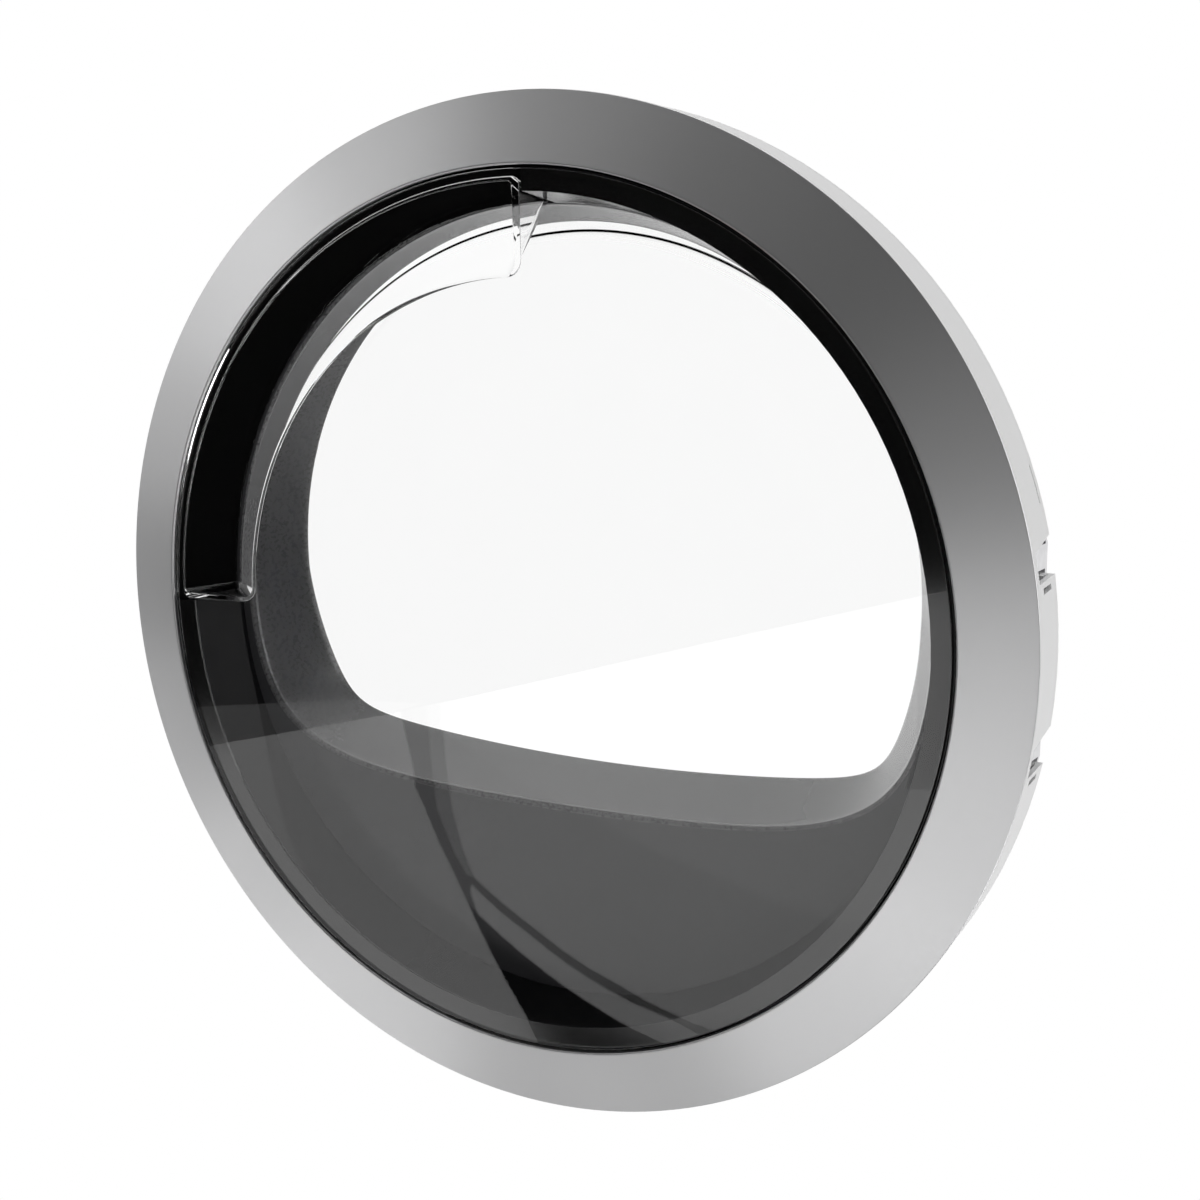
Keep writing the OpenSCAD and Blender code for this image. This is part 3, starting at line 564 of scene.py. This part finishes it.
def pale(name):
    """Backdrop and floor: plain white to the eye and in reflections, pale to the lamps."""
    n = Nodes(name)
    surface = n.add("ShaderNodeBsdfDiffuse", Color=n.ramp(n.spread(n.noise(2.0), 0.0, 1.0), (0.8, 0.8, 0.8), (0.82, 0.82, 0.82)))
    glow = n.add("ShaderNodeEmission", Strength=1.0)
    path = n.tree.nodes.new("ShaderNodeLightPath")
    seen_by = path.outputs["Is Camera Ray"]
    for key in ("Is Glossy Ray", "Is Transmission Ray"):
        either = n.add("ShaderNodeMath")
        either.operation = "MAXIMUM"
        n.tree.links.new(seen_by, either.inputs[0])
        n.tree.links.new(path.outputs[key], either.inputs[1])
        seen_by = either.outputs["Value"]
    mix = n.tree.nodes.new("ShaderNodeMixShader")
    n.tree.links.new(seen_by, mix.inputs["Fac"])
    n.tree.links.new(surface.outputs["BSDF"], mix.inputs[1])
    n.tree.links.new(glow.outputs["Emission"], mix.inputs[2])
    return n.finish(mix.outputs["Shader"])


bm = bmesh.new()
bmesh.ops.create_grid(bm, x_segments=8, y_segments=8, size=6.0, matrix=Matrix.Translation((0, 0, -3.2)))
mesh = bpy.data.meshes.new("studio_floor")
bm.to_mesh(mesh)
bm.free()
mesh.materials.append(pale("pale_floor"))
floor = bpy.data.objects.new("studio_floor", mesh)
scene.collection.objects.link(floor)

ROOM = 3.0
FAR = -0.12
room = [Vector((x, y, z)) for x in (-ROOM, ROOM) for y in (-ROOM, FAR) for z in (-ROOM, ROOM)]
for name, order in (("left", (0, 1, 3, 2)), ("right", (4, 5, 7, 6)), ("front", (0, 1, 5, 4)),
                    ("floor", (0, 2, 6, 4)), ("roof", (1, 3, 7, 5))):
    card(name, [room[i] for i in order], 0.0)


# Boards that the pane reflects: tone, distance in front of the door, and (x, z) corners.
BOARDS = [
    ("left", 1.00, -1.600, [(-1.772, -0.632), (-1.551, -0.573), (-1.336, -0.515), (-1.314, -0.508), (-1.297,
     -0.575), (-1.293, -0.605), (-1.281, -0.627), (-1.259, -0.672), (-1.234, -0.715), (-1.210, -0.759), (-1.185,
     -0.803), (-1.157, -0.846), (-1.128, -0.888), (-1.094, -0.946), (-1.094, -0.966), (-1.796, -1.106)]),
    ("main", 1.00, -1.600, [(-1.206, -0.711), (-1.178, -0.730), (-1.146, -0.749), (-1.113, -0.767), (-1.080,
     -0.785), (-1.042, -0.802), (-0.998, -0.817), (-0.954, -0.833), (-0.900, -0.846), (-0.847, -0.854), (-0.767,
     -0.888), (-0.507, -0.837), (-0.526, -0.265), (-0.891, -0.377), (-1.253, -0.490), (-1.246, -0.575), (-1.238,
     -0.626), (-1.223, -0.677)]),
    ("upper", 1.12, -1.597, [(-1.252, -0.524), (-1.136, -0.579), (-1.051, -0.602), (-0.954, -0.636), (-0.782,
     -0.678), (-0.718, -0.686), (-0.511, -0.676), (-0.525, -0.265), (-0.890, -0.377), (-1.251, -0.489)]),
    ("right", 0.72, -1.594, [(-0.615, -0.293), (-0.524, -0.264), (-0.516, -0.501), (-0.628, -0.516), (-0.617,
     -0.468)]),
    ("band", 1.00, -1.600, [(-1.212, -0.732), (-1.202, -0.758), (-1.174, -0.777), (-1.144, -0.796), (-1.112,
     -0.814), (-1.077, -0.832), (-1.040, -0.848), (-0.999, -0.864), (-0.947, -0.878), (-0.900, -0.884), (-0.866,
     -0.869), (-0.887, -0.860), (-0.925, -0.848), (-0.980, -0.837), (-1.025, -0.822), (-1.064, -0.806), (-1.100,
     -0.788), (-1.132, -0.770), (-1.165, -0.752), (-1.194, -0.733), (-1.212, -0.720)]),
    ("shade", 0.26, -1.606, [(-1.318, -0.510), (-1.301, -0.577), (-1.297, -0.607), (-1.285, -0.629), (-1.263,
     -0.674), (-1.238, -0.718), (-1.225, -0.745), (-1.206, -0.760), (-1.178, -0.779), (-1.147, -0.798), (-1.115,
     -0.816), (-1.081, -0.834), (-1.044, -0.851), (-1.003, -0.867), (-0.950, -0.881), (-0.889, -0.895), (-0.809,
     -0.879), (-1.142, -0.679), (-1.199, -0.584), (-1.242, -0.486)]),
    ("fade", 0.55, -1.603, [(-1.276, -0.497), (-1.270, -0.579), (-1.262, -0.631), (-1.240, -0.680), (-1.220,
     -0.710), (-1.208, -0.712), (-1.225, -0.678), (-1.239, -0.627), (-1.248, -0.576), (-1.255, -0.490)]),
    ("strip", 0.25, -1.603, [(-1.771, -0.563), (-1.634, -0.540), (-1.392, -0.502), (-1.285, -0.495), (-1.338,
     -0.516), (-1.553, -0.574), (-1.775, -0.633)]),
]
for name, strength, y, corners in BOARDS:
    card(name, [(x, y, z) for x, z in corners], strength * 1.28)


def lamp(name, az, el, away, size, power, aim=(-0.21, -0.04, 0.0)):
    """A softbox. az and el say where it stands, seen from the door: az 0 in front of it, positive to the right."""
    data = bpy.data.lights.new(name, "AREA")
    data.shape = "RECTANGLE"
    data.size, data.size_y = size
    data.energy = power
    lamp_object = bpy.data.objects.new(name, data)
    a, e = math.radians(az), math.radians(el)
    side = Vector((math.sin(a) * math.cos(e), -math.cos(a) * math.cos(e), math.sin(e)))
    lamp_object.location = Vector(aim) + side * away
    lamp_object.rotation_euler = side.to_track_quat("Z", "Y").to_euler()
    lamp_object.visible_camera = False
    scene.collection.objects.link(lamp_object)
    return lamp_object


LAMPS = [
    ("ring_000", 26.9, -12.1, 2.0, (0.80, 0.80), 2.10),
    ("ring_022", 22.7, 9.2, 2.0, (0.80, 0.80), 0.61),
    ("ring_045", 10.6, 27.7, 2.0, (0.80, 0.80), 0.24),
    ("ring_067", -11.4, 38.5, 2.0, (0.80, 0.80), 0.35),
    ("ring_090", -37.1, 38.8, 2.0, (0.75, 0.75), 0.62),
    ("ring_112", -56.8, 29.8, 2.0, (0.65, 0.65), 1.42),
    ("ring_135", -69.4, 17.2, 2.0, (0.55, 0.55), 1.55),
    ("ring_157", -76.5, 3.9, 2.0, (0.50, 0.50), 0.73),
    ("ring_180", -80.3, -9.4, 2.0, (0.50, 0.50), 0.22),
    ("ring_202", -81.0, -22.1, 2.0, (0.50, 0.50), 0.55),
    ("ring_225", -78.2, -34.7, 2.0, (0.50, 0.50), 0.97),
    ("ring_247", -69.8, -46.9, 2.0, (0.50, 0.50), 1.16),
    ("ring_270", -51.4, -57.1, 2.0, (0.60, 0.60), 0.87),
    ("ring_292", -19.3, -59.6, 2.0, (0.80, 0.80), 1.25),
    ("ring_315", 9.9, -50.6, 2.0, (0.80, 0.80), 2.26),
    ("ring_337", 23.3, -33.0, 2.0, (0.80, 0.80), 2.38),
    ("side_front", 70.0, -40.0, 2.0, (0.7, 0.7), 7.0),
    ("side_mid", 97.0, 12.0, 2.0, (1.0, 1.2), 8.40),
    ("side_high", 97.0, 60.0, 2.0, (1.2, 1.2), 0.10),
    ("above", 0.0, 78.0, 2.0, (1.4, 1.0), 8.00),
]
for values in LAMPS:
    lamp(*values)

scene.view_settings.view_transform = "Standard"
